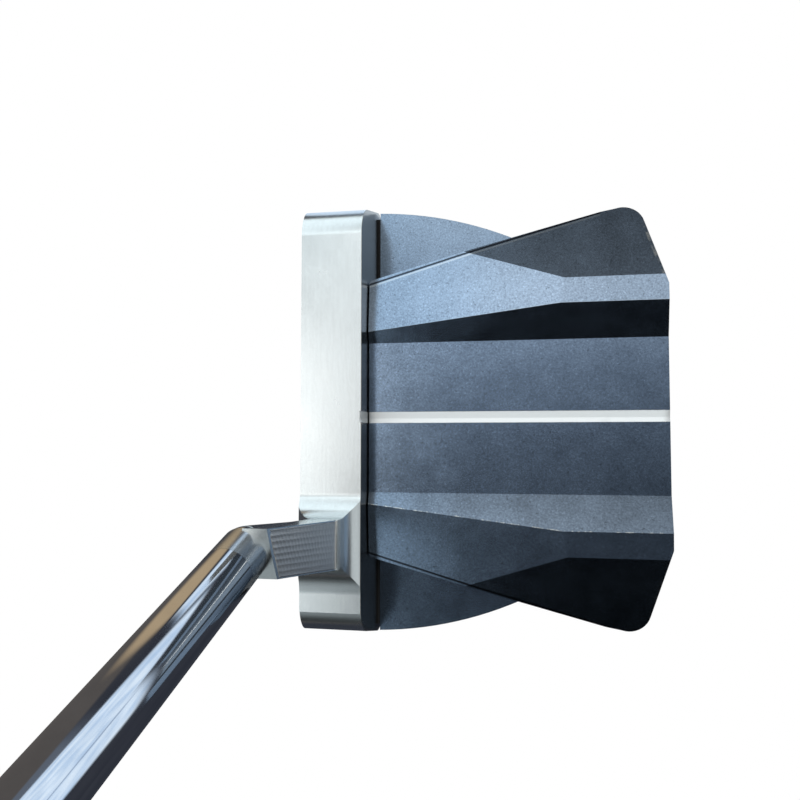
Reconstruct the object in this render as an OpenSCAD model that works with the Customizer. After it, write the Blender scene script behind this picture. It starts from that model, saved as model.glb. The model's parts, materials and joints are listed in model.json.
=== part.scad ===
// Mallet putter for a right-handed player, with a milled stainless face bar and neck, a
// faceted aluminium wing deck over a round lower flange, an over-hosel steel shaft and a grip.
// Frame: millimetres. The origin is the middle of the flat sole, +Z is up, +X runs from the
// face to the back of the head and +Y runs from the heel to the toe.

/* [Head] */
// Height of the face bar above the sole
bar_h = 25; // [24.6:0.1:25.6]
// Thickness of the face bar, front to back, along its top
bar_t = 14.6; // [13.8:0.2:15.6]
// Backward lean of the striking face in degrees
loft = 3.5; // [2:0.5:5]
// Height of the channel floor above the sole
floor_h = 18.3; // [17.8:0.1:18.6]
// Width of the alignment line
line_w = 2.7; // [1.5:0.1:4]

/* [Shaft and grip] */
// Lean of the shaft from upright, toward the heel, in degrees
shaft_tilt = 18.9; // [17:0.5:20]
// Length of the shaft tube
shaft_l = 794; // [720:2:850]
// Outside diameter of the shaft where it meets the neck
tip_d = 10.3; // [10.1:0.05:10.5]
// Outside diameter of the shaft under the grip
butt_d = 15.2; // [14.7:0.1:15.4]
// Length of the grip
grip_l = 267; // [240:1:290]

/* [Sole weights] */
// Diameter of the rim of a sole weight
weight_d = 17; // [15:0.5:18]
// Distance of each weight from the middle of the head
weight_y = 29; // [28:0.5:30]

/* [Hidden] */
$fn = 64;
eps = 0.02;
big = 200;
sole_x = 27;

// bar outline, seen from the front
end_mid = 50.3;
end_r = 7.4;
end_low = 52.7;
bar_rise = 0.35;
bar_camber = 2.6;

// neck: rear wall, side walls, fillets
neck_x = -3.1;
neck_toe = -23.0;
neck_heel = -33.9;
neck_z = 32.7;
neck_r = 4.8;
neck_r_toe = 5.5;
neck_r_heel = 7;
arm_x = -10.5;
arm_z = 54.8;
lean = 0.75;
elbow = [-16.2, -27.45, 53.9];
hosel_l = 9.2;
rod_d = tip_d - 0.2;
rod_root = 5;
function shaft_way() = [-sin(lean), -cos(lean) * sin(shaft_tilt), cos(lean) * cos(shaft_tilt)];
seat = elbow + hosel_l * shaft_way();
post_l = 27;
bore_d = tip_d - 1.0;
glue_t = 0.1;
post_d = bore_d - 2 * glue_t - 2 * eps;

// wing deck
deck_x0 = 0.3;
deck_x1 = 69.1;
deck_z0 = 11;
chan_y = 17.75;
wall_k = 0.323;
crest_y0 = 20.45;
crest_x = 45.4;
crest_y = 25.75;
outer_y = 31.55;
front_k = -0.0932;
rear_k = -0.085;
outer_k = -0.2444;
line_deep = 0.35;

// lower flange
fl_x0 = 0.7;
fl_z0 = 0.5;
fl_z1 = 7.7;
gasket_x = 0.12;
gasket_hy = 51;
gasket_z0 = 1.2;
gasket_h = 6.1;
sole_rise_y = 38;
sole_rise = 9;
plate_z1 = 2.6;
plate_x0 = 8;
plate_x1 = 56;
plate_y = 17;
weight_x = 38;
weight_rim_h = 1.6;
weight_body_d = weight_d - 4;
weight_top = 7.9;
rim_z = 0.6;
ring_d = 1.3;
thread_gap = 0.06;
key_r = 4.3;
key_d = 1.8;
centre_d = 3;

// fasteners: M3 screws, their through holes and sunk heads, and 3 mm pins
screw_d = 3;
hole_d = screw_d + 2 * eps;
free_d = 3.4;
flat_head_d = 6.2;
sink_d = 6.8;
sink_z = 1.2;
cap_head_d = 5.5;
cap_head_h = 3;
cap_head_at = 15.03;
face_screw_from = -8;
screw_z = 4.3;
face_screw_y = [-40, 40];
dowel_y = [-24, 24];
deck_screw = [[7, 29], [7, -29], [52, 21], [52, -21]];
plate_screw = [[13, 12.5], [13, -12.5], [51, 12.5], [51, -12.5]];

// lightening pockets: corner, then size
bar_pocket_middle = [[-10.5, -19, 3], [20, 38, 14.8]];
bar_pocket_top = [[-10.5, -30.5, deck_z0 + 0.5], [20, 61, 6.3]];
flange_pocket_middle = [[16, -10, plate_z1 + 1.6], [32, 20, 20]];
flange_pockets = [for (y = [-30, 17]) [[13.5, y, plate_z1], [13, 13, 20]]];
face_screw_pockets = [for (y = face_screw_y) [[7, y - 3.6, -1], [15, 7.2, 8.2]]];
deck_pockets = concat(
    [for (y = [-17, 2]) [[10, y, deck_z0 - 1], [48, 15, 5.2]]],
    [for (y = [-30, 19]) [[14, y, deck_z0 - 1], [31, 11, 6.5]]]);

// ---------- helpers ----------
// moves the head drawing so that the middle of the sole is the origin
module in_frame() {
    translate([-sole_x, 0, 0])
        children();
}

// a block given as its lowest corner and its size
module block(b) {
    translate(b[0])
        cube(b[1]);
}

// a hole or pin that runs toward the back of the head
module rod_x(x, y, h, d) {
    translate([x, y, screw_z])
        rotate([0, 90, 0])
            cylinder(h = h, d = d);
}

// local z runs up the shaft from its seat on the neck
module on_shaft_line(h) {
    translate(seat)
        rotate([shaft_tilt, 0, 0])
            rotate([0, -lean, 0])
                translate([0, 0, h])
                    children();
}

module on_shaft(h = 0) {
    in_frame()
        on_shaft_line(h)
            children();
}

// a flat outline drawn in x and z, given thickness along y
module along_y(y0, y1) {
    translate([0, y1, 0])
        rotate([90, 0, 0])
            linear_extrude(height = y1 - y0)
                children();
}

// a flat outline drawn in y and z, given thickness along x
module along_x(x0, x1) {
    translate([x0, 0, 0])
        rotate([90, 0, 90])
            linear_extrude(height = x1 - x0)
                children();
}

// everything above the plane z = z0 + kx * (x - x0) + ky * (y - y0)
module above(x0, y0, z0, kx, ky) {
    n = sqrt(kx * kx + ky * ky + 1);
    tip = acos(1 / n);
    turn = atan2(-ky, -kx);
    translate([x0, y0, z0])
        rotate([0, tip, turn])
            translate([-big, -big, 0])
                cube([2 * big, 2 * big, big]);
}

function arc(c, r, a0, a1, n) = [for (i = [0 : n]) c + r * [cos(a0 + (a1 - a0) * i / n),
    sin(a0 + (a1 - a0) * i / n)]];
function mirror_y(p) = [for (i = [len(p) - 1 : -1 : 0]) [p[i][0], -p[i][1]]];
function mirror_x(p) = [for (i = [len(p) - 1 : -1 : 0]) [-p[i][0], p[i][1]]];

// ---------- face bar ----------
// right half of the bar outline in y and z, from the middle of the sole up to the top
function bar_half() = concat(
    [[0, bar_rise], [22, bar_rise], [38, bar_rise + 0.7]],
    arc([end_low - 4.6, bar_camber + 4.2], 4.6, -72, 10, 8),
    arc([end_mid - end_r, bar_h - end_r], end_r, 9, 90, 14));

module bar_outline() {
    polygon(concat(bar_half(), mirror_x(bar_half())));
}

module neck_side_outline() {
    difference() {
        polygon([[-bar_t, bar_h - 2], [0, bar_h - 2], [0, neck_z + 1], [-8.4, neck_z + 1],
            [-bar_t, bar_h + 1]]);
        translate([neck_x + neck_r, bar_h + neck_r])
            circle(r = neck_r);
        translate([neck_x, bar_h + neck_r])
            square([20, 20]);
    }
}

module neck_front_outline() {
    difference() {
        translate([-45, bar_h - 2])
            square([35, neck_z + 1 - bar_h + 2]);
        translate([neck_toe + neck_r_toe, bar_h + neck_r_toe])
            circle(r = neck_r_toe);
        translate([neck_toe, bar_h + neck_r_toe])
            square([20, 20]);
        translate([neck_toe + neck_r_toe, bar_h])
            square([20, 20]);
        translate([neck_heel - neck_r_heel, bar_h + neck_r_heel])
            circle(r = neck_r_heel);
        translate([neck_heel - 20, bar_h + neck_r_heel])
            square([20, 20]);
        translate([neck_heel - neck_r_heel - 20, bar_h])
            square([20, 20]);
    }
}

module neck_base() {
    intersection() {
        along_y(-45, -10)
            neck_side_outline();
        along_x(-bar_t, 0)
            neck_front_outline();
    }
}

// flat-backed arm, round in front, that carries the hosel forward of the face
module neck_arm() {
    foot = [-9.3, (neck_toe + neck_heel) / 2, neck_z - 3];
    way = elbow - foot;
    side_y = elbow[1] - 0.3;
    half_w = 5.1;
    shoulder = half_w * tan(shaft_tilt);
    intersection() {
        along_y(-45, -10)
            polygon([[neck_x, foot[2]], [neck_x, neck_z], [arm_x, arm_z], [arm_x - 0.6, arm_z + 3],
                [elbow[0], arm_z + 3], [foot[0], foot[2]]]);
        along_x(-25, 0)
            polygon([[neck_heel, foot[2] - 1], [neck_toe, foot[2] - 1], [neck_toe, neck_z],
                [side_y + half_w, arm_z + shoulder], [side_y - half_w, arm_z - shoulder],
                [neck_heel, neck_z]]);
    }
    translate(foot)
        rotate([0, acos(way[2] / norm(way)), atan2(way[1], way[0])])
            translate([0, 0, -rod_root])
                cylinder(h = rod_root + norm(way), d = rod_d);
    translate(elbow)
        sphere(d = rod_d - 0.1);
}

module hosel() {
    on_shaft_line(-hosel_l)
        cylinder(h = hosel_l, d = tip_d);
    on_shaft_line(-1)
        cylinder(h = post_l, d = post_d);
    on_shaft_line(post_l - 1)
        cylinder(h = 1.2, d1 = post_d, d2 = post_d - 2.4);
}

module face_bar() {
    color([0.78, 0.80, 0.82])
        in_frame() {
            difference() {
                union() {
                    along_x(-bar_t - 2.5, 0)
                        bar_outline();
                    neck_base();
                }
                // lofted striking face
                translate([-bar_t, 0, bar_h])
                    rotate([0, loft, 0])
                        translate([-20, -big, -60])
                            cube([20, 2 * big, 120]);
                // painted groove in the back wall
                translate([-line_deep, -line_w / 2, floor_h])
                    cube([1, line_w, bar_h]);
                // lightening pocket behind the face, closed off by the deck and the flange
                block(bar_pocket_middle);
                block(bar_pocket_top);
                // threaded holes and pin holes
                for (y = face_screw_y)
                    rod_x(face_screw_from - 1, y, 10, hole_d);
                for (y = dowel_y)
                    rod_x(-5.5, y, 6, hole_d);
            }
            neck_arm();
            hosel();
        }
}

// ---------- lower flange and what is fixed to it ----------
// half of the flange outline in x and y: a slow arc at the side runs into the round back
function flange_half() = concat(
    arc([-3.5, -39.2], 91.7, 87.4, 66.5, 12),
    arc([13.45, 0], 49, 65, 1.5, 28));

module flange_outline() {
    polygon(concat(flange_half(), mirror_y(flange_half())));
}

// raised seat that the deck stands on
module island_outline() {
    polygon([[4, 31], [20, 35.5], [36, 36], [46, 31], [54, 22], [59, 10],
        [59, -10], [54, -22], [46, -31], [36, -36], [20, -35.5], [4, -31]]);
}

module rounded_rect(x0, x1, hy, r) {
    difference() {
        translate([x0, -hy])
            square([x1 - x0, 2 * hy]);
        for (sx = [0, 1])
            for (sy = [-1, 1])
                translate([sx == 0 ? x0 : x1, sy * hy])
                    difference() {
                        square([2 * r, 2 * r], center = true);
                        translate([sx == 0 ? r : -r, -sy * r])
                            circle(r = r);
                    }
    }
}

module lower_flange() {
    color([0.16, 0.20, 0.26])
        in_frame()
            difference() {
                union() {
                    translate([0, 0, fl_z0])
                        linear_extrude(height = fl_z1 - fl_z0)
                            flange_outline();
                    translate([0, 0, fl_z1 - 1])
                        linear_extrude(height = deck_z0 - fl_z1 + 1)
                            island_outline();
                }
                // rise of the sole toward heel and toe
                for (s = [0, 1])
                    mirror([0, s, 0])
                        translate([0, sole_rise_y, fl_z0])
                            rotate([sole_rise, 0, 0])
                                translate([-1, 0, -10])
                                    cube([100, 30, 10]);
                // lightening pockets under the deck
                block(flange_pocket_middle);
                for (b = flange_pockets)
                    block(b);
                // recess for the sole plate
                translate([0, 0, -1])
                    linear_extrude(height = plate_z1 + 1 + eps)
                        rounded_rect(plate_x0 - 0.1, plate_x1 + 0.1, plate_y + 0.1, 4.1);
                for (p = plate_screw)
                    translate([p[0], p[1], 0])
                        cylinder(h = 8.6, d = hole_d);
                // ports for the weights
                for (s = [-1, 1])
                    translate([weight_x, s * weight_y, 0]) {
                        translate([0, 0, -1])
                            cylinder(h = rim_z + weight_rim_h + ring_d + 1.7, d = weight_d + 0.5);
                        cylinder(h = weight_top + 0.5, d = weight_body_d + 2 * thread_gap);
                    }
                // holes for the deck screws, sunk from below
                for (p = deck_screw)
                    translate([p[0], p[1], 0]) {
                        translate([0, 0, -1])
                            cylinder(h = 20, d = free_d);
                        translate([0, 0, -1])
                            cylinder(h = sink_z + 1, d = sink_d);
                        translate([0, 0, sink_z])
                            cylinder(h = (sink_d - free_d) / 2, d1 = sink_d, d2 = free_d);
                    }
                // pockets and holes for the face screws, pin holes
                for (y = face_screw_y)
                    rod_x(fl_x0 - 1, y, 10, free_d);
                for (b = face_screw_pockets)
                    block(b);
                for (y = dowel_y)
                    rod_x(-1, y, 6.5, hole_d);
            }
}

module gasket() {
    color([0.05, 0.05, 0.05])
        in_frame()
            difference() {
                along_x(eps, fl_x0 - gasket_x)
                    translate([-gasket_hy, gasket_z0])
                        square([2 * gasket_hy, gasket_h]);
                for (y = concat(face_screw_y, dowel_y))
                    rod_x(-1, y, 4, free_d);
            }
}

module sole_plate() {
    color([0.72, 0.73, 0.75])
        in_frame()
            difference() {
                linear_extrude(height = plate_z1)
                    rounded_rect(plate_x0, plate_x1, plate_y, 4);
                for (p = plate_screw)
                    translate([p[0], p[1], 0]) {
                        translate([0, 0, -1])
                            cylinder(h = 5, d = 3.3);
                        translate([0, 0, -eps])
                            cylinder(h = 1.7, d1 = 6.7, d2 = 3.3);
                    }
            }
}

// countersunk screw, head down, with a hexagon socket in the head
module flat_head_screw(l, d, head_d) {
    difference() {
        union() {
            cylinder(h = (head_d - d) / 2, d1 = head_d, d2 = d);
            cylinder(h = l, d = d);
        }
        translate([0, 0, -1])
            cylinder(h = 2.2, d = 2.3, $fn = 6);
    }
}

module plate_screws() {
    color([0.5, 0.5, 0.52])
        in_frame()
            for (p = plate_screw)
                translate([p[0], p[1], 0.05])
                    flat_head_screw(7.5, screw_d - eps, flat_head_d);
}

module deck_screws() {
    color([0.12, 0.12, 0.13])
        in_frame()
            for (p = deck_screw)
                translate([p[0], p[1], sink_z])
                    flat_head_screw(13.4, screw_d - eps, flat_head_d);
}

module face_screws() {
    color([0.5, 0.5, 0.52])
        in_frame()
            for (y = face_screw_y)
                translate([face_screw_from, y, screw_z])
                    rotate([0, 90, 0])
                        difference() {
                            union() {
                                cylinder(h = cap_head_at + 0.17, d = screw_d - eps);
                                translate([0, 0, cap_head_at])
                                    cylinder(h = cap_head_h, d = cap_head_d);
                            }
                            translate([0, 0, cap_head_at + 1.37])
                                cylinder(h = 4, d = 2.9, $fn = 6);
                        }
}

module locating_pins() {
    color([0.6, 0.6, 0.62])
        in_frame()
            for (y = dowel_y)
                rod_x(-5, y, 10, screw_d - eps);
}

// ---------- wing deck ----------
function deck_half() = concat(
    [[deck_x0, 0], [deck_x0, 32.2]],
    arc([deck_x0 + 0.9, 32.25], 0.9, 170, 105, 4),
    [[54.7, 47.35]],
    arc([59.6, 43.3], 4.9, 108, 15, 10),
    [[68.3, 31.9], [deck_x1, 29.5], [deck_x1, 0]]);

// toe half of the deck: a slab cut by the four sloping planes of its top
module deck_side() {
    z_front = floor_h + wall_k * (crest_y0 - chan_y);
    z_crest = floor_h + wall_k * (crest_y - chan_y);
    kx_front = (z_crest - z_front - front_k * (crest_y - crest_y0)) / crest_x;
    z_outer = z_crest + rear_k * (outer_y - crest_y);
    difference() {
        translate([0, 0, deck_z0])
            linear_extrude(height = 12)
                polygon(deck_half());
        above(0, chan_y, floor_h, 0, wall_k);
        above(0, crest_y0, z_front, kx_front, front_k);
        above(crest_x, crest_y, z_crest, 0, rear_k);
        above(0, outer_y, z_outer, 0, outer_k);
    }
}

module wing_deck() {
    color([0.17, 0.21, 0.27])
        in_frame()
            difference() {
                union() {
                    deck_side();
                    mirror([0, 1, 0])
                        deck_side();
                    translate([deck_x0, -chan_y, deck_z0])
                        cube([deck_x1 - deck_x0, 2 * chan_y, floor_h - deck_z0]);
                }
                // groove for the alignment line
                translate([-1, -line_w / 2, floor_h - line_deep])
                    cube([deck_x1 + 3, line_w, 3]);
                // relief under the tips of the wings
                for (s = [0, 1])
                    mirror([0, s, 0])
                        translate([50, 36.5, deck_z0])
                            rotate([12, 0, 15])
                                translate([-60, 0, -10])
                                    cube([120, 30, 10]);
                // lightening pockets, open below
                for (b = deck_pockets)
                    block(b);
                for (p = deck_screw)
                    translate([p[0], p[1], deck_z0 - 1])
                        cylinder(h = 5, d = hole_d);
            }
}

module deck_line_fill() {
    color([0.9, 0.9, 0.9])
        in_frame()
            translate([deck_x0, -line_w / 2 + eps, floor_h - line_deep + eps])
                cube([deck_x1 - deck_x0, line_w - 2 * eps, line_deep - 0.08]);
}

module bar_line_fill() {
    color([0.9, 0.9, 0.9])
        in_frame()
            translate([-line_deep + eps, -line_w / 2 + eps, floor_h + eps])
                cube([line_deep - 0.08, line_w - 2 * eps, bar_h - floor_h - 0.4]);
}

// ---------- sole weights ----------
module weight_at(s) {
    translate([weight_x, s * weight_y, rim_z])
        difference() {
            union() {
                cylinder(h = weight_rim_h, d = weight_d);
                cylinder(h = weight_top - rim_z, d = weight_body_d);
            }
            for (a = [0, 90, 180, 270])
                rotate([0, 0, a])
                    translate([key_r, 0, -1])
                        cylinder(h = 2.6, d = key_d);
            translate([0, 0, -1])
                cylinder(h = 2.2, d = centre_d);
        }
}

module ring_at(s) {
    translate([weight_x, s * weight_y, rim_z + weight_rim_h + ring_d / 2 + 0.35])
        rotate_extrude()
            translate([weight_body_d / 2 + ring_d / 2 + 0.1, 0])
                circle(d = ring_d);
}

module toe_weight() {
    color([0.62, 0.63, 0.65])
        in_frame()
            weight_at(1);
}

module heel_weight() {
    color([0.62, 0.63, 0.65])
        in_frame()
            weight_at(-1);
}

module toe_weight_ring() {
    color([0.04, 0.04, 0.04])
        in_frame()
            ring_at(1);
}

module heel_weight_ring() {
    color([0.04, 0.04, 0.04])
        in_frame()
            ring_at(-1);
}

// ---------- shaft and grip ----------
wall = 0.5;
step_z0 = 330;
steps = 10;
step_l = 18;
step_rise = 1.5;
function step_d(i) = tip_d + (butt_d - tip_d) * i / steps;
function step_from(i) = i == 0 ? 0 : step_z0 + step_l * i + step_rise;
function step_to(i) = i == steps ? shaft_l : step_z0 + step_l * (i + 1);

// tube outline: parallel lower part, then short steps up to the butt
function tube_out(i) = i > steps ? [] : concat(
    [[step_d(i) / 2, step_from(i)], [step_d(i) / 2, step_to(i)]],
    tube_out(i + 1));
function tube_in(i) = i < 0 ? [] : concat(
    [[step_d(i) / 2 - wall, step_to(i)], [step_d(i) / 2 - wall, step_from(i)]],
    tube_in(i - 1));

module shaft() {
    color([0.8, 0.81, 0.83])
        on_shaft(0.05)
            rotate_extrude()
                polygon(concat(tube_out(0), tube_in(steps)));
}

module shaft_adhesive() {
    color([0.75, 0.7, 0.55])
        on_shaft(0.4)
            difference() {
                cylinder(h = post_l - 2, d = bore_d - 2 * eps);
                translate([0, 0, -1])
                    cylinder(h = post_l, d = post_d + 2 * eps);
            }
}

tape_t = 0.15;
thumb_y = 9.4;
grooves = 18;
groove_w = 12;
groove_z0 = 34;
groove_step = 10;
module grip_tape() {
    color([0.8, 0.75, 0.55])
        on_shaft(shaft_l - grip_l + 12)
            difference() {
                cylinder(h = grip_l - 14, d = butt_d + 2 * tape_t);
                translate([0, 0, -1])
                    cylinder(h = grip_l, d = butt_d + 2 * eps);
            }
}

// flat-fronted pistol grip; the flat faces up and away from the player
module grip() {
    bore = butt_d + 2 * tape_t + 2 * eps;
    color([0.06, 0.06, 0.065])
        on_shaft(shaft_l - grip_l)
            difference() {
                rotate_extrude()
                    polygon([[bore / 2, 0], [9.6, 0], [10.2, 1.2], [10.6, 40], [11.2, 120], [12.2, 190],
                        [13.6, 228], [14.4, 246], [14.2, 258], [13.4, grip_l], [bore / 2, grip_l]]);
                // flat for the thumbs
                translate([-30, thumb_y, -1])
                    rotate([-0.25, 0, 0])
                        cube([60, 30, grip_l + 10]);
                // shallow grooves across the flat
                for (i = [0 : grooves - 1])
                    translate([-groove_w / 2, thumb_y - 0.4, groove_z0 + i * groove_step])
                        cube([groove_w, 5, 1.4]);
            }
}

module grip_cap() {
    color([0.06, 0.06, 0.065])
        on_shaft(shaft_l + 0.1)
            difference() {
                union() {
                    intersection() {
                        rotate_extrude()
                            polygon([[0, 0], [13.3, 0], [12.8, 2.2], [10.6, 3.9], [0, 4.4]]);
                        translate([-30, -30, -1])
                            cube([60, 30 + thumb_y - 0.2, 10]);
                    }
                    translate([0, 0, -12])
                        cylinder(h = 13, d = butt_d - 2 * wall - 2 * eps);
                }
                translate([0, 0, 2.5])
                    cylinder(h = 4, d = 1.8);
            }
}

face_bar();
gasket();
lower_flange();
wing_deck();
deck_line_fill();
bar_line_fill();
sole_plate();
face_screws();
locating_pins();
deck_screws();
plate_screws();
toe_weight();
heel_weight();
toe_weight_ring();
heel_weight_ring();
shaft();
shaft_adhesive();
grip_tape();
grip();
grip_cap();
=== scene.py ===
"""Looks of the mallet putter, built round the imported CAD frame. Metres, in the CAD frame."""

import json
import math

import bpy
import bmesh
from mathutils import Matrix, Vector


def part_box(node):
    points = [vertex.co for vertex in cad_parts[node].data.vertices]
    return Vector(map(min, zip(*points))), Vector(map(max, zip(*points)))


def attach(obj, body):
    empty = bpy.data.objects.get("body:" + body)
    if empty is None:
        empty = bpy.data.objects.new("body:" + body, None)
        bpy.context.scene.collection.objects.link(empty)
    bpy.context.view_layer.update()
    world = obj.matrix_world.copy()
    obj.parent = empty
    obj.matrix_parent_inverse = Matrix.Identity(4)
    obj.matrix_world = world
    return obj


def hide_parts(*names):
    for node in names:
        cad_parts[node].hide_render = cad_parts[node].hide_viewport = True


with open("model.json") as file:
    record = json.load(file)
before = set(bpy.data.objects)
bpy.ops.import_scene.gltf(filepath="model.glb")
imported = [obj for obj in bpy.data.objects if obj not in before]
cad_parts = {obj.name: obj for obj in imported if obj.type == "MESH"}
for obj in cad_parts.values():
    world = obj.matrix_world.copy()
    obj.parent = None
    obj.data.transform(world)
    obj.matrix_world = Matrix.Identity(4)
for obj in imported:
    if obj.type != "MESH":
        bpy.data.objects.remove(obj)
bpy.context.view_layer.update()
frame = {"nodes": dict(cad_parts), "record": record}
nodes = frame["nodes"]
MM = 0.001


# ---------- node helpers ----------
def link(tree, source, target):
    tree.links.new(source, target)


def new_node(tree, kind, **settings):
    made = tree.nodes.new(kind)
    for name, value in settings.items():
        setattr(made, name, value)
    return made


def plug(tree, socket, value):
    """Links a socket, or sets it when value is a plain number or colour."""
    if isinstance(value, bpy.types.NodeSocket):
        link(tree, value, socket)
    else:
        socket.default_value = value


def math_node(tree, operation, a, b=0.0, c=None, clamp=False):
    made = new_node(tree, "ShaderNodeMath", operation=operation, use_clamp=clamp)
    plug(tree, made.inputs[0], a)
    plug(tree, made.inputs[1], b)
    if c is not None:
        plug(tree, made.inputs[2], c)
    return made.outputs[0]


def plus(tree, a, b):
    return math_node(tree, "ADD", a, b)


def minus(tree, a, b):
    return math_node(tree, "SUBTRACT", a, b)


def times(tree, a, b):
    return math_node(tree, "MULTIPLY", a, b)


def scaled(tree, value, scale, offset):
    """value * scale + offset."""
    return math_node(tree, "MULTIPLY_ADD", value, scale, offset)


def smooth(tree, value, low, high, out_low=0.0, out_high=1.0):
    """A soft step from out_low, where value is low, to out_high, where it is high."""
    made = new_node(tree, "ShaderNodeMapRange", interpolation_type="SMOOTHSTEP")
    plug(tree, made.inputs["Value"], value)
    made.inputs["From Min"].default_value = low
    made.inputs["From Max"].default_value = high
    made.inputs["To Min"].default_value = out_low
    made.inputs["To Max"].default_value = out_high
    return made.outputs["Result"]


def soft_box(tree, *limits):
    """Product of soft steps: each limit is a coordinate, where it is 0 and where it is 1."""
    value = None
    for coordinate, none, full in limits:
        step = smooth(tree, coordinate, none, full)
        value = step if value is None else times(tree, value, step)
    return value


def band(tree, value, none, full):
    """A soft band round value 0: it is 0 this far off, and 1 this far off."""
    return smooth(tree, math_node(tree, "ABSOLUTE", value), none, full)


def mix_colour(tree, factor, a, b, blend="MIX"):
    made = new_node(tree, "ShaderNodeMix", data_type="RGBA", blend_type=blend)
    plug(tree, made.inputs[0], factor)
    plug(tree, made.inputs[6], a)
    plug(tree, made.inputs[7], b)
    return made.outputs[2]


def tinted(tree, a, b):
    """The product of two colours."""
    return mix_colour(tree, 1.0, a, b, "MULTIPLY")


def rgb(r, g, b):
    return (r, g, b, 1.0)


def split_xyz(tree, vector):
    """The x, y and z of a vector socket."""
    made = new_node(tree, "ShaderNodeSeparateXYZ")
    link(tree, vector, made.inputs[0])
    return made.outputs[0], made.outputs[1], made.outputs[2]


def distance_from(tree, vector, point):
    """How far a vector socket is from a fixed point."""
    made = new_node(tree, "ShaderNodeVectorMath", operation="DISTANCE")
    link(tree, vector, made.inputs[0])
    made.inputs[1].default_value = point
    return made.outputs["Value"]


def noise(tree, place, size, detail=2.0, rough=0.5, stretch=None):
    """Noise of a size given in millimetres, with stretch as scale factors along x, y and z."""
    if stretch:
        mapped = new_node(tree, "ShaderNodeMapping")
        link(tree, place, mapped.inputs["Vector"])
        mapped.inputs["Scale"].default_value = stretch
        place = mapped.outputs["Vector"]
    made = new_node(tree, "ShaderNodeTexNoise")
    link(tree, place, made.inputs["Vector"])
    made.inputs["Scale"].default_value = 1 / (size * MM)
    made.inputs["Detail"].default_value = detail
    made.inputs["Roughness"].default_value = rough
    return made.outputs["Fac"]


def bump(tree, height, depth, before=None):
    """Bump of a depth given in millimetres, on top of the bump before it."""
    made = new_node(tree, "ShaderNodeBump")
    made.inputs["Strength"].default_value = 1.0
    made.inputs["Distance"].default_value = depth * MM
    link(tree, height, made.inputs["Height"])
    if before is not None:
        link(tree, before, made.inputs["Normal"])
    return made.outputs["Normal"]


def material(name):
    """A new material with its tree, its shader and its object coordinates."""
    made = bpy.data.materials.new(name)
    made.use_nodes = True
    tree = made.node_tree
    shader = tree.nodes["Principled BSDF"]
    place = new_node(tree, "ShaderNodeTexCoord").outputs["Object"]
    return made, tree, shader, place


def near_line(tree, place, start, end, width):
    """1 close to the line from start to end in x and y, 0 from width away. All in millimetres."""
    x, y, _ = split_xyz(tree, place)
    dx, dy = end[0] - start[0], end[1] - start[1]
    long = math.hypot(dx, dy)
    ux, uy = dx / long, dy / long
    rel_x = minus(tree, x, start[0] * MM)
    rel_y = minus(tree, y, start[1] * MM)
    along = plus(tree, times(tree, rel_x, ux), times(tree, rel_y, uy))
    across = plus(tree, times(tree, rel_x, -uy), times(tree, rel_y, ux))
    off_line = math_node(tree, "ABSOLUTE", across)
    close = smooth(tree, off_line, width * MM * 0.5, width * MM, 1.0, 0.0)
    between = times(tree, math_node(tree, "GREATER_THAN", along, 0.0),
                    math_node(tree, "LESS_THAN", along, long * MM))
    return times(tree, close, between)


# ---------- materials ----------
# the bar's back wall, darkened with painted shade, and the arcs that the cutter leaves on its
# striking face, in mm; each pair says where the effect starts and where it is full
BACK_WALL = (-27.12, -27.03)  # x of the back wall
FACE_TOP = (26, 25)           # z below which the arcs lie
FACE_NORMAL = (-0.97, -0.99)  # x of the normal on the striking face
ARC_CENTRE = (-42, 0, -38)
ARC_PITCH = 0.9
ARC_DEPTH = 0.02


def steel_finish(name, colour, rough, grain=0.08, streak=0.05, bar=False):
    """Satin steel: fine blasted grain, faint streaks and smears. With bar, it also has painted
    shade darkening the bar's back wall, and the cutter's arcs on the striking face."""
    made, tree, shader, place = material(name)
    fine = noise(tree, place, size=0.4, detail=3.0, rough=0.6)
    lines = noise(tree, place, size=0.5, detail=2.0, rough=0.5, stretch=(1.0, 0.06, 1.0))
    cloud = noise(tree, place, size=9.0, detail=5.0, rough=0.6)
    tone = scaled(tree, fine, 2 * grain, 1 - grain)
    tone = plus(tree, tone, scaled(tree, lines, 2 * streak, -streak))
    tone = plus(tree, tone, scaled(tree, cloud, 0.16, -0.08))
    base = tinted(tree, rgb(*colour), tone)
    surface = bump(tree, fine, 0.004)
    if bar:
        x, _, z = split_xyz(tree, place)
        # painted shade: the back wall is darkened, standing in for the shade it lies in
        wall = smooth(tree, x, BACK_WALL[0] * MM, BACK_WALL[1] * MM)
        wall_shade = mix_colour(tree, cloud, rgb(0.36, 0.33, 0.30), rgb(0.52, 0.48, 0.44))
        base = mix_colour(tree, wall, base, tinted(tree, base, wall_shade))
        normal_x = split_xyz(tree, new_node(tree, "ShaderNodeNewGeometry").outputs["Normal"])[0]
        striking = times(tree, smooth(tree, normal_x, *FACE_NORMAL),
                         smooth(tree, z, FACE_TOP[0] * MM, FACE_TOP[1] * MM))
        radius = distance_from(tree, place, [c * MM for c in ARC_CENTRE])
        arcs = math_node(tree, "SINE", times(tree, radius, math.tau / (ARC_PITCH * MM)))
        surface = bump(tree, times(tree, arcs, striking), ARC_DEPTH, surface)
    link(tree, base, shader.inputs["Base Color"])
    shader.inputs["Metallic"].default_value = 1.0
    link(tree, scaled(tree, cloud, 0.12, rough - 0.06), shader.inputs["Roughness"])
    link(tree, surface, shader.inputs["Normal"])
    return made
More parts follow.
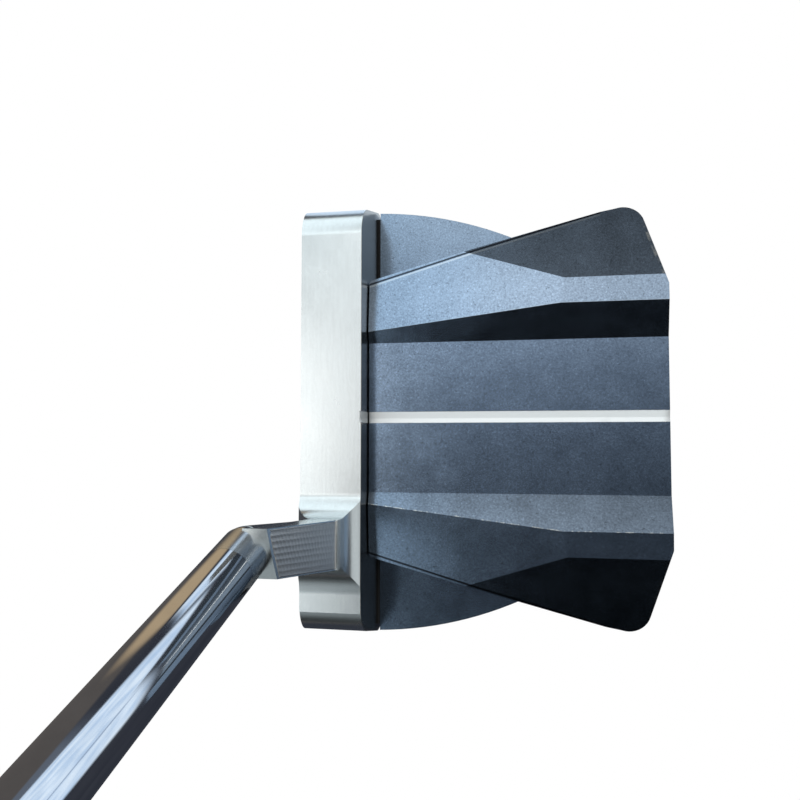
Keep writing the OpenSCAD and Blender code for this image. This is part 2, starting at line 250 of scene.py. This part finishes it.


# edges of the deck on its toe side, as x and y in millimetres; the heel side mirrors them
# RIM_SHADOW and SHADOW paint a dark line: painted shade and dark reflection at the deck's edge
RIM_SHADOW = ((-26.7, 32.05), (27.7, 47.2))
# RIM_GLEAM and GLEAM paint a highlight along the deck's rim
RIM_GLEAM = ((-26.7, 31.5), (27.7, 46.65))
REAR_EDGE = ((37.0, 44.3), (41.0, 31.7))
CREST = ((-26.7, 20.45), (18.4, 25.75), (42.1, 25.75))
RIM_SHADOW_WIDTH, RIM_GLEAM_WIDTH, REAR_WIDTH, CREST_WIDTH = 0.30, 0.26, 0.45, 0.17
BARE_METAL = rgb(0.80, 0.86, 0.90)
GLEAM = rgb(0.62, 0.70, 0.78)
SHADOW = rgb(0.02, 0.025, 0.035)


def edge_line(tree, place, edge, side, width):
    """near_line along an edge of the deck, on its toe side (1) or heel side (-1)."""
    (x0, y0), (x1, y1) = edge
    return near_line(tree, place, (x0, side * y0), (x1, side * y1), width)


def anodised(name, colour, deck=False):
    """Dark dyed aluminium: blasted speckle, pits and cloudy marks. With deck, it also has a painted
    dark line and a painted highlight along the deck's rim, and silver wear where edges are struck."""
    made, tree, shader, place = material(name)
    fine = noise(tree, place, size=0.45, detail=3.0, rough=0.6)
    dots = smooth(tree, noise(tree, place, size=0.55, detail=1.0, rough=0.5), 0.62, 0.74)
    pits = smooth(tree, noise(tree, place, size=0.8, detail=3.0, rough=0.65), 0.28, 0.40, 1.0, 0.0)
    cloud = noise(tree, place, size=7.0, detail=6.0, rough=0.68)
    tone = scaled(tree, fine, 1.1, 0.45)
    tone = plus(tree, tone, scaled(tree, cloud, 0.60, -0.30))
    tone = plus(tree, tone, times(tree, dots, 0.28))
    tone = minus(tree, tone, times(tree, pits, 0.42))
    base = tinted(tree, rgb(*colour), tone)
    if deck:
        wear = smooth(tree, noise(tree, place, size=2.2, detail=5.0, rough=0.75), 0.46, 0.60)
        for side, gleam, struck in ((-1, 0.05, 0.3), (1, 0.5, 0.9)):
            # painted highlight along the rim, much stronger on the toe side, where the light comes
            # from
            light = edge_line(tree, place, RIM_GLEAM, side, RIM_GLEAM_WIDTH)
            base = mix_colour(tree, times(tree, light, gleam), base, GLEAM)
            rear = edge_line(tree, place, REAR_EDGE, side, REAR_WIDTH)
            nicks = times(tree, rear, times(tree, wear, struck))
            base = mix_colour(tree, nicks, base, BARE_METAL)
            # painted shade: a dark line along the rim, where the edge's shadow and dark reflection
            # fall
            dark = edge_line(tree, place, RIM_SHADOW, side, RIM_SHADOW_WIDTH)
            base = mix_colour(tree, times(tree, dark, 0.9), base, SHADOW)
        for side, worn in ((-1, wear), (1, 0.1)):
            for edge in zip(CREST, CREST[1:]):
                bare = times(tree, edge_line(tree, place, edge, side, CREST_WIDTH), worn)
                base = mix_colour(tree, bare, base, BARE_METAL)
    link(tree, base, shader.inputs["Base Color"])
    shader.inputs["Metallic"].default_value = 1.0
    link(tree, scaled(tree, cloud, 0.10, 0.145), shader.inputs["Roughness"])
    link(tree, bump(tree, fine, 0.0036), shader.inputs["Normal"])
    return made


def chrome():
    """Bright chrome with faint smears and fine scratches along the shaft."""
    made, tree, shader, place = material("shaft_chrome_look")
    smear = noise(tree, place, size=6.0, detail=5.0, rough=0.7)
    hairs = noise(tree, place, size=0.25, detail=3.0, rough=0.6, stretch=(1.0, 1.0, 0.05))
    scratch = smooth(tree, hairs, 0.62, 0.8)
    base = tinted(tree, rgb(0.83, 0.84, 0.86), scaled(tree, smear, 0.24, 0.80))
    link(tree, base, shader.inputs["Base Color"])
    shader.inputs["Metallic"].default_value = 1.0
    link(tree, scaled(tree, scratch, 0.10, 0.070), shader.inputs["Roughness"])
    return made


def rubber(name, colour, rough=0.62, grain=0.5, depth=0.03, tread=0.0):
    """Rubber, plastic, glue or tape: grain of a size and depth in mm, and rows of small cells
    where tread gives their depth."""
    made, tree, shader, place = material(name)
    fine = noise(tree, place, size=grain, detail=3.0, rough=0.6)
    wide = noise(tree, place, size=18.0, detail=2.0, rough=0.5)
    tone = scaled(tree, fine, 0.35, 0.825)
    tone = plus(tree, tone, scaled(tree, wide, 0.3, -0.15))
    link(tree, tinted(tree, rgb(*colour), tone), shader.inputs["Base Color"])
    link(tree, scaled(tree, wide, 0.16, rough - 0.08), shader.inputs["Roughness"])
    surface = bump(tree, fine, depth)
    if tread:
        cells = new_node(tree, "ShaderNodeTexVoronoi", feature="F1")
        link(tree, place, cells.inputs["Vector"])
        cells.inputs["Scale"].default_value = 1 / (2.4 * MM)
        cells.inputs["Randomness"].default_value = 0.15
        surface = bump(tree, smooth(tree, cells.outputs["Distance"], 0.2, 0.5), tread, surface)
    link(tree, surface, shader.inputs["Normal"])
    return made


def paint():
    """White paint with a little dirt."""
    made, tree, shader, place = material("white_paint_look")
    fine = noise(tree, place, size=0.6, detail=3.0, rough=0.6)
    dirt = smooth(tree, noise(tree, place, size=5.0, detail=5.0, rough=0.7), 0.55, 0.8)
    base = mix_colour(tree, times(tree, dirt, 0.25), rgb(0.80, 0.83, 0.84), rgb(0.55, 0.58, 0.60))
    link(tree, base, shader.inputs["Base Color"])
    link(tree, scaled(tree, fine, 0.1, 0.16), shader.inputs["Roughness"])
    link(tree, bump(tree, fine, 0.006), shader.inputs["Normal"])
    return made


# the names are the record's material slots, apart from cut_steel, the marks on the neck
looks = {
    "milled_steel": steel_finish("milled_steel_look", (0.755, 0.785, 0.795), 0.25, bar=True),
    "cut_steel": steel_finish("cut_steel_look", (0.86, 0.80, 0.74), 0.40, grain=0.09),
    "sole_steel": steel_finish("sole_steel_look", (0.66, 0.68, 0.70), 0.30, streak=0.06),
    "screw_steel": steel_finish("screw_steel_look", (0.52, 0.53, 0.55), 0.28),
    "weight_steel": steel_finish("weight_steel_look", (0.62, 0.64, 0.66), 0.24),
    "screw_black": steel_finish("screw_black_look", (0.05, 0.05, 0.055), 0.36),
    "deck_anodised": anodised("deck_anodised_look", (0.265, 0.35, 0.475), deck=True),
    "flange_anodised": anodised("flange_anodised_look", (0.22, 0.30, 0.41)),
    "black_rubber": rubber("black_rubber_look", (0.02, 0.02, 0.022)),
    "ring_rubber": rubber("ring_rubber_look", (0.02, 0.02, 0.022), 0.45),
    "grip_rubber": rubber("grip_rubber_look", (0.028, 0.029, 0.032), 0.62, 0.9, 0.05, tread=0.18),
    "cap_plastic": rubber("cap_plastic_look", (0.025, 0.026, 0.028), 0.5, 0.6, 0.02),
    "adhesive": rubber("adhesive_look", (0.62, 0.52, 0.30), 0.35, 1.0, 0.02),
    "tape": rubber("tape_look", (0.66, 0.60, 0.40), 0.75, 0.4, 0.02),
    "shaft_chrome": chrome(),
    "white_paint": paint(),
}
slot_of = {part["node"]: part["material_slot"] for part in frame["record"]["subparts"]}
for name, thing in nodes.items():
    for slot in thing.material_slots:
        slot.material = looks[slot_of[name]]


# ---------- broken edges on the metal parts ----------
WELD = 0.002         # corners closer than this are joined, mm
SHORTEST_EDGE = 0.4  # shorter edges get no bevel, mm
BEVEL_ANGLE = 24     # edges over this get a bevel, degrees
SHARP_ANGLE = 28     # edges over this are shaded sharp
FACET_ANGLE = 2      # edges of flat facets over this are shaded sharp
FLAT_ANGLE = 0.4     # triangles under this are joined into one face
UPRIGHT = 0.5        # an edge is upright if its direction has more z than this
BEVELS = {"face_bar": 0.42, "wing_deck": 0.22, "lower_flange": 0.45, "sole_plate": 0.3,
          "toe_weight": 0.25, "heel_weight": 0.25}


def geometry_tree(name):
    """A geometry node group with its input and its output node."""
    tree = bpy.data.node_groups.new(name, "GeometryNodeTree")
    for way in ("INPUT", "OUTPUT"):
        tree.interface.new_socket("Geometry", in_out=way, socket_type="NodeSocketGeometry")
    return tree, new_node(tree, "NodeGroupInput"), new_node(tree, "NodeGroupOutput")


def chain(tree, *steps):
    """Links the first output of each node to the first input of the next."""
    for source, target in zip(steps, steps[1:]):
        link(tree, source.outputs[0], target.inputs[0])


def edge_ends(tree, operation):
    """A vector operation on the two ends of each edge."""
    ends = new_node(tree, "GeometryNodeInputMeshEdgeVertices")
    made = new_node(tree, "ShaderNodeVectorMath", operation=operation)
    link(tree, ends.outputs["Position 1"], made.inputs[0])
    link(tree, ends.outputs["Position 2"], made.inputs[1])
    return made


def over_angle(tree, degrees):
    """1 on the edges whose two faces turn by more than this."""
    angle = new_node(tree, "GeometryNodeInputMeshEdgeAngle").outputs["Unsigned Angle"]
    return math_node(tree, "GREATER_THAN", angle, math.radians(degrees))


def edge_group():
    """Joins the corners, drops the imported normals and marks the real edges for the bevel."""
    tree, start, end = geometry_tree("cad_edges")
    merge = new_node(tree, "GeometryNodeMergeByDistance")
    merge.inputs["Distance"].default_value = WELD * MM
    bare = new_node(tree, "GeometryNodeRemoveAttribute")
    bare.inputs["Name"].default_value = "custom_normal"
    span = edge_ends(tree, "DISTANCE").outputs["Value"]
    long = math_node(tree, "GREATER_THAN", span, SHORTEST_EDGE * MM)
    weight = new_node(tree, "GeometryNodeStoreNamedAttribute", data_type="FLOAT", domain="EDGE")
    weight.inputs["Name"].default_value = "bevel_weight_edge"
    link(tree, times(tree, over_angle(tree, BEVEL_ANGLE), long), weight.inputs["Value"])
    chain(tree, start, merge, bare, weight, end)
    return tree


def shade_group(name, facets):
    """Shades all smooth but for the sharp edges. With facets, the slight edges that aren't
    upright stay sharp too."""
    tree, start, end = geometry_tree(name)
    faces = new_node(tree, "GeometryNodeSetShadeSmooth", domain="FACE")
    edges = new_node(tree, "GeometryNodeSetShadeSmooth", domain="EDGE")
    edges.inputs["Shade Smooth"].default_value = False
    sharp = over_angle(tree, SHARP_ANGLE)
    if facets:
        unit = new_node(tree, "ShaderNodeVectorMath", operation="NORMALIZE")
        link(tree, edge_ends(tree, "SUBTRACT").outputs["Vector"], unit.inputs[0])
        rise = math_node(tree, "ABSOLUTE", split_xyz(tree, unit.outputs["Vector"])[2])
        level = math_node(tree, "LESS_THAN", rise, UPRIGHT)
        slight = times(tree, over_angle(tree, FACET_ANGLE), level)
        sharp = math_node(tree, "MAXIMUM", sharp, slight)
    link(tree, sharp, edges.inputs["Selection"])
    chain(tree, start, faces, edges, end)
    return tree


mark_edges = edge_group()
smooth_by_angle = shade_group("smooth_by_angle", False)
smooth_facets = shade_group("smooth_facets", True)


def break_edges(name, width):
    """A small bevel on the part's real edges, as a stack of modifiers."""
    thing = nodes[name]
    thing.modifiers.new("flat_faces_source", "NODES").node_group = mark_edges
    flat = thing.modifiers.new("flat_faces", "DECIMATE")
    flat.decimate_type = "DISSOLVE"
    flat.angle_limit = math.radians(FLAT_ANGLE)
    thing.modifiers.new("edge_marks", "NODES").node_group = mark_edges
    bevel = thing.modifiers.new("broken_edges", "BEVEL")
    bevel.limit_method = "WEIGHT"
    bevel.width = width * MM
    bevel.segments = 2
    bevel.use_clamp_overlap = True
    shading = smooth_facets if name == "wing_deck" else smooth_by_angle
    thing.modifiers.new("smooth", "NODES").node_group = shading
    even = thing.modifiers.new("even_shading", "WEIGHTED_NORMAL")
    even.weight = 100
    even.keep_sharp = True


for name, width in BEVELS.items():
    break_edges(name, width)


# ---------- pieces made here ----------
def mesh_piece(name, verts, faces, look, body="club"):
    data = bpy.data.meshes.new(name)
    data.from_pydata(verts, [], faces)
    data.update()
    made = bpy.data.objects.new(name, data)
    bpy.context.scene.collection.objects.link(made)
    tidy = bmesh.new()
    tidy.from_mesh(data)
    bmesh.ops.recalc_face_normals(tidy, faces=tidy.faces)
    tidy.to_mesh(data)
    tidy.free()
    data.shade_smooth()
    data.materials.append(looks[look])
    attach(made, body)
    return made


def closed_sheet(name, rows, columns, top, under, look):
    """A closed thin sheet: top(i, j) and under(i, j) give the points of its two faces."""
    upper = [top(i, j) for i in range(rows) for j in range(columns)]
    lower = [under(i, j) for i in range(rows) for j in range(columns)]
    count = rows * columns
    faces = []
    for i in range(rows - 1):
        for j in range(columns - 1):
            a = i * columns + j
            quad = (a, a + 1, a + columns + 1, a + columns)
            faces.append(quad)
            faces.append(tuple(count + k for k in reversed(quad)))
    ring = list(range(columns))
    ring += [i * columns + columns - 1 for i in range(1, rows)]
    ring += [(rows - 1) * columns + j for j in range(columns - 2, -1, -1)]
    ring += [i * columns for i in range(rows - 2, 0, -1)]
    for k, a in enumerate(ring):
        b = ring[(k + 1) % len(ring)]
        faces.append((a, count + a, count + b, b))
    return mesh_piece(name, upper + lower, faces, look)


# paint in the alignment grooves, dried to a shallow V
PAINT_ROWS, PAINT_COLUMNS = 41, 31
PAINT_DEPTH = 0.22   # of the V, mm
PAINT_CREASE = -0.2  # where its bottom runs, from -1 at the heel edge to 1 at the toe edge
PAINT_FLOOR = 0.94   # share of the depth at which the bottom is flat
PAINT_BASE = 0.01    # the underside's height over the groove's floor, mm


def paint_strip(name, node, up_axis):
    """up_axis is the way the strip's surface faces: z on the deck, x on the bar's back wall."""
    low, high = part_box(node)

    def sunk(j):
        u = 2 * j / (PAINT_COLUMNS - 1) - 1
        if u < PAINT_CREASE:
            share = (u + 1) / (1 + PAINT_CREASE)
        else:
            share = (1 - u) / (1 - PAINT_CREASE)
        return -PAINT_DEPTH * MM * min(share, PAINT_FLOOR)

    def top(i, j):
        y = low.y + (high.y - low.y) * j / (PAINT_COLUMNS - 1)
        s = i / (PAINT_ROWS - 1)
        if up_axis == "z":
            return (low.x + (high.x - low.x) * s, y, high.z + sunk(j))
        return (high.x + sunk(j), y, low.z + (high.z - low.z) * s)

    def under(i, j):
        x, y, z = top(i, j)
        if up_axis == "z":
            return (x, y, low.z + PAINT_BASE * MM)
        return (low.x + PAINT_BASE * MM, y, z)

    made = closed_sheet(name, PAINT_ROWS, PAINT_COLUMNS, top, under, "white_paint")
    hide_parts(node)


paint_strip("deck_line_paint", "deck_line_fill", "z")
paint_strip("bar_line_paint", "bar_line_fill", "x")

# dark bead in the seam between the flange and the deck's edge, a painted shade for the gap's
# shadow,
# in mm: the line it runs along on the toe side, and its section as steps out from that line and
# heights
SEAM_START, SEAM_END = (-26.4, 32.35), (9.5, 42.27)
SEAM_SECTION = ((-1.2, 7.72), (0.119, 7.72), (0.34, 9.31), (0.272, 10.6), (0.068, 10.9),
                (-1.2, 10.9))
SEAM_STEPS = 60


def seam_shadow_bead(name, side):
    dx, dy = SEAM_END[0] - SEAM_START[0], SEAM_END[1] - SEAM_START[1]
    long = math.hypot(dx, dy)
    out_x, out_y = -dy / long, dx / long

    def at(i, out, z):
        s = i / SEAM_STEPS
        x = SEAM_START[0] + dx * s + out_x * out
        y = SEAM_START[1] + dy * s + out_y * out
        return (x * MM, side * y * MM, z * MM)

    verts = [at(i, out, z) for i in range(SEAM_STEPS + 1) for out, z in SEAM_SECTION]
    size = len(SEAM_SECTION)
    faces = []
    for i in range(SEAM_STEPS):
        for k in range(size):
            here, after = i * size + k, i * size + (k + 1) % size
            faces.append((here, after, after + size, here + size))
    faces += [tuple(range(size)), tuple(SEAM_STEPS * size + k for k in range(size))]
    mesh_piece(name, verts, faces, "black_rubber")


# both beads are painted shade: dark pieces set in the seam where the gap's shadow falls
seam_shadow_bead("deck_seam_shadow_toe", 1)
seam_shadow_bead("deck_seam_shadow_heel", -1)

# cutter marks on the sloping back of the neck: the slope's line in x and z, and the way it faces
NECK_LOW = Vector((-30.1, 0, 32.7)) * MM
NECK_HIGH = Vector((-37.5, 0, 54.8)) * MM
NECK_OUT = Vector((22.1, 0, 7.4)).normalized()
# y of the marked area's two sides, at its bottom and its top, mm
MARKS_HEEL = (-33.6, -32.55)
MARKS_TOE = (-23.3, -22.95)
# shares of the slope: where the marked area starts, how long it is and how far its top slants
MARKS_FROM, MARKS_SPAN, MARKS_SLANT = 0.035, 0.925, 0.14
MARKS_BASE, MARKS_UNDER = 0.015, -0.12  # heights over the slope, mm
CUT_ROWS, CUTS, PER_CUT = 8, 20, 7      # rows, marks in a row, mesh steps in a mark
CUT_DEPTH = 0.30                        # mm
CUT_LOW, CUT_HEEL = 0.35, 0.45          # share of the depth at the bottom and at the heel
CUT_ALONG = 0.75                        # how much a mark curves along its row, against across
# how far each row is set off along itself, and how its marks wander, in marks
ROW_SHIFT, ROW_TURN = 0.37, 2.4
WANDER, WANDER_WAVES, WANDER_TURN = 0.12, 17, 1.7


def neck_point(s, t, lift):
    """s runs up the slope and t from heel to toe, both 0 to 1; lift is the height over it, mm."""
    heel = MARKS_HEEL[0] + (MARKS_HEEL[1] - MARKS_HEEL[0]) * s
    toe = MARKS_TOE[0] + (MARKS_TOE[1] - MARKS_TOE[0]) * s
    up = MARKS_FROM + MARKS_SPAN * s + (t - 0.5) * MARKS_SLANT * s
    at = NECK_LOW.lerp(NECK_HIGH, up)
    return Vector((at.x, (heel + (toe - heel) * t) * MM, at.z)) + NECK_OUT * lift * MM


def cut_lift(s, t):
    """Height over the slope, mm: each mark is a shallow dish, deeper toward the top and the toe."""
    row = min(int(t * CUT_ROWS), CUT_ROWS - 1)
    across = (t * CUT_ROWS) % 1 - 0.5
    shift = ROW_SHIFT * math.sin(row * ROW_TURN)
    wander = WANDER * math.sin(s * WANDER_WAVES + row * WANDER_TURN)
    along = (s * CUTS + shift + wander) % 1 - 0.5
    depth = CUT_DEPTH * (CUT_LOW + (1 - CUT_LOW) * s) * (CUT_HEEL + (1 - CUT_HEEL) * t)
    return MARKS_BASE + depth * (across * across + CUT_ALONG * along * along)


def neck_marks(name):
    rows, columns = CUTS * PER_CUT + 1, CUT_ROWS * PER_CUT + 1

    def top(i, j):
        s, t = i / (rows - 1), j / (columns - 1)
        return neck_point(s, t, cut_lift(s, t))

    def under(i, j):
        return neck_point(i / (rows - 1), j / (columns - 1), MARKS_UNDER)

    closed_sheet(name, rows, columns, top, under, "cut_steel")


neck_marks("neck_cutter_marks")


# ---------- surroundings ----------
FLOOR_HALF = 6.0
FLOOR_Z = -0.3 * MM


def white_to_camera(tree, kind, colour):
    """A shader of this kind: white to the camera, and this colour to everything else."""
    seen = new_node(tree, kind)
    link(tree, colour, seen.inputs["Color"])
    white = new_node(tree, kind)
    white.inputs["Color"].default_value = rgb(1, 1, 1)
    pick = new_node(tree, "ShaderNodeMixShader")
    link(tree, new_node(tree, "ShaderNodeLightPath").outputs["Is Camera Ray"], pick.inputs[0])
    link(tree, seen.outputs[0], pick.inputs[1])
    link(tree, white.outputs[0], pick.inputs[2])
    return pick.outputs[0]


def floor_look():
    """White to the camera and open from below. Reflections see a dark floor with carpet, a tan
    patch and daylight on it, placed in metres."""
    made = bpy.data.materials.new("floor_look")
    made.use_nodes = True
    tree = made.node_tree
    tree.nodes.clear()
    place = new_node(tree, "ShaderNodeTexCoord").outputs["Object"]
    x, y, _ = split_xyz(tree, place)
    blotch = noise(tree, place, size=60.0, detail=3.0, rough=0.5)
    colour = mix_colour(tree, blotch, rgb(0.018, 0.022, 0.034), rgb(0.055, 0.060, 0.074))
    # paler far beyond the toe
    far = soft_box(tree, (y, 0.20, 0.28))
    colour = mix_colour(tree, far, colour, rgb(0.127, 0.152, 0.195))
    # carpet in front of the face, with a round tan patch
    carpet = soft_box(tree, (x, -0.080, -0.112))
    colour = mix_colour(tree, carpet, colour, rgb(0.100, 0.092, 0.088))
    away = distance_from(tree, place, (-0.094, 0.068, 0))
    tan = soft_box(tree, (away, 0.070, 0.035), (x, -0.062, -0.074))
    colour = mix_colour(tree, tan, colour, rgb(0.47, 0.36, 0.23))
    # faint slanting glint, under the toe wing and behind it
    slant = minus(tree, scaled(tree, x, 0.45, y), 0.037)
    glint = times(tree, band(tree, slant, 0.011, 0.002),
                  soft_box(tree, (x, -0.014, -0.002), (x, 0.07, 0.055)))
    colour = mix_colour(tree, glint, colour, rgb(0.24, 0.28, 0.32))
    # rippled daylight beyond the toe, off the bar's toe end and behind the head, with a dim streak
    day = soft_box(tree, (y, 0.068, 0.082), (x, -0.012, 0.012))
    beside = soft_box(tree, (x, -0.061, -0.052), (y, 0.038, 0.048), (y, 0.120, 0.102),
                      (x, -0.004, -0.022))
    behind = soft_box(tree, (x, 0.064, 0.082), (y, -0.035, -0.012))
    day = math_node(tree, "MAXIMUM", math_node(tree, "MAXIMUM", day, beside), behind)
    lean = minus(tree, y, scaled(tree, x, 0.57, 0.014))
    streak = times(tree, band(tree, lean, 0.009, 0.002), soft_box(tree, (x, 0.07, 0.10)))
    ripple = noise(tree, place, size=26.0, detail=3.0, rough=0.6, stretch=(1.0, 0.35, 1.0))
    daylight = mix_colour(tree, smooth(tree, ripple, 0.35, 0.65),
                          rgb(0.56, 0.74, 0.98), rgb(0.92, 1.06, 1.20))
    daylight = mix_colour(tree, streak, daylight, rgb(0.34, 0.44, 0.60))
    colour = mix_colour(tree, day, colour, daylight)

    one_way = new_node(tree, "ShaderNodeMixShader")
    link(tree, new_node(tree, "ShaderNodeNewGeometry").outputs["Backfacing"], one_way.inputs[0])
    link(tree, white_to_camera(tree, "ShaderNodeEmission", colour), one_way.inputs[1])
    link(tree, new_node(tree, "ShaderNodeBsdfTransparent").outputs[0], one_way.inputs[2])
    link(tree, one_way.outputs[0], new_node(tree, "ShaderNodeOutputMaterial").inputs["Surface"])
    return made


floor_data = bpy.data.meshes.new("floor")
corners = [(x * FLOOR_HALF, y * FLOOR_HALF, 0) for x, y in ((-1, -1), (1, -1), (1, 1), (-1, 1))]
floor_data.from_pydata(corners, [], [(0, 1, 2, 3)])
floor = bpy.data.objects.new("floor", floor_data)
floor.location = (0, 0, FLOOR_Z)
floor_data.materials.append(floor_look())
bpy.context.scene.collection.objects.link(floor)

# levels of the light that reflections see, by the y over z of its direction: over the head, and
# further forward than the front boundary
OVERHEAD = ((-0.90, 0.0), (-0.44, 0.0), (-0.38, 0.08), (-0.30, 0.14), (-0.20, 0.045),
            (-0.08, 0.12), (0.00, 0.20), (0.09, 0.42), (0.20, 0.90), (0.32, 1.75), (0.44, 1.65),
            (0.60, 0.38), (0.92, 0.16))
FORWARD = ((-3.60, 0.04), (-2.00, 0.12), (-1.20, 0.34), (-0.75, 0.56), (-0.32, 0.64),
           (-0.12, 1.95), (0.10, 2.05), (0.22, 0.28), (0.29, 0.38), (0.36, 1.35), (0.80, 1.30))
SKY_LOW, SKY_HIGH = -4.0, 1.2  # the y over z at the two ends of the ramps
HORIZON = 0.08                 # the least z that directions are divided by


def light_ramp(tree, y, stops):
    made = new_node(tree, "ShaderNodeValToRGB")
    share = math_node(tree, "DIVIDE", minus(tree, y, SKY_LOW), SKY_HIGH - SKY_LOW, clamp=True)
    link(tree, share, made.inputs[0])
    points = made.color_ramp.elements
    while len(points) < len(stops):
        points.new(0.5)
    for point, (at, level) in zip(points, stops):
        point.position = (at - SKY_LOW) / (SKY_HIGH - SKY_LOW)
        point.color = rgb(level, level, level)
    return made.outputs[0]


def sky():
    """White to the camera. Reflections see a ceiling that is bright forward and toward the toe,
    and dark on the player's side."""
    world = bpy.data.worlds.new("studio")
    bpy.context.scene.world = world
    world.use_nodes = True
    tree = world.node_tree
    tree.nodes.clear()
    direction = split_xyz(tree, new_node(tree, "ShaderNodeTexCoord").outputs["Generated"])
    up = math_node(tree, "MAXIMUM", direction[2], HORIZON)
    x = math_node(tree, "DIVIDE", direction[0], up)
    y = math_node(tree, "DIVIDE", direction[1], up)
    # the front boundary, which lies further forward at the heel and at the toe
    heel_part = smooth(tree, y, 0.05, -0.10, 0.0, 0.035)
    toe_part = smooth(tree, y, 0.20, 0.30, 0.0, 0.02)
    front = smooth(tree, plus(tree, x, plus(tree, heel_part, toe_part)), -0.225, -0.295)
    level = mix_colour(tree, front, light_ramp(tree, y, OVERHEAD), light_ramp(tree, y, FORWARD))
    level = tinted(tree, level, smooth(tree, x, -0.14, 0.18, 1.0, 0.66))
    rear = soft_box(tree, (x, 0.34, 0.8), (y, -1.6, -0.5), (y, 0.7, 0.2))
    level = mix_colour(tree, rear, level, rgb(0.66, 0.65, 0.61))
    below = smooth(tree, direction[2], 0.0, -0.12)
    level = mix_colour(tree, below, level, rgb(0.50, 0.50, 0.50))
    # a slight tint: cooler to warmer from heel to toe over the deck, cooler at both ends forward
    over_deck = mix_colour(tree, smooth(tree, y, 0.08, 0.34),
                           rgb(0.92, 1.0, 1.09), rgb(1.02, 1.0, 0.95))
    steely = mix_colour(tree, band(tree, y, 0.23, 0.10),
                        rgb(0.89, 1.0, 1.04), rgb(1.0, 1.0, 0.98))
    tint = mix_colour(tree, smooth(tree, x, -0.16, -0.27), over_deck, steely)
    shader = white_to_camera(tree, "ShaderNodeBackground", tinted(tree, tint, level))
    link(tree, shader, new_node(tree, "ShaderNodeOutputWorld").inputs["Surface"])


sky()

fill = bpy.data.lights.new("soft_fill", "AREA")
fill.size = 0.7
fill.energy = 15.0
fill_object = bpy.data.objects.new("soft_fill", fill)
fill_object.location = (-0.1, 1.1, 1.1)
fill_aim = Vector((0, 0, 0.1)) - fill_object.location
fill_object.rotation_euler = fill_aim.to_track_quat("-Z", "Y").to_euler()
fill_object.visible_glossy = False
fill_object.visible_camera = False
bpy.context.scene.collection.objects.link(fill_object)

# ---------- camera ----------
camera = bpy.data.cameras.new("camera")
camera.sensor_width = 36
camera.lens = 36.0
camera.shift_x = -0.0009
camera.shift_y = -0.0019
camera.clip_start = 0.005
camera.clip_end = 50
camera_object = bpy.data.objects.new("camera", camera)
right = Vector((0.9811, 0.0003, -0.1937)).normalized()
back = Vector((0.1934, -0.0551, 0.9796)).normalized()
up = back.cross(right).normalized()
right = up.cross(back)
turned = Matrix((right, up, back)).transposed().to_4x4()
turned.translation = Vector((0.01774, -0.00598, 0.20436))
camera_object.matrix_world = turned
bpy.context.scene.collection.objects.link(camera_object)
bpy.context.scene.camera = camera_object
bpy.context.scene.view_settings.view_transform = "Standard"
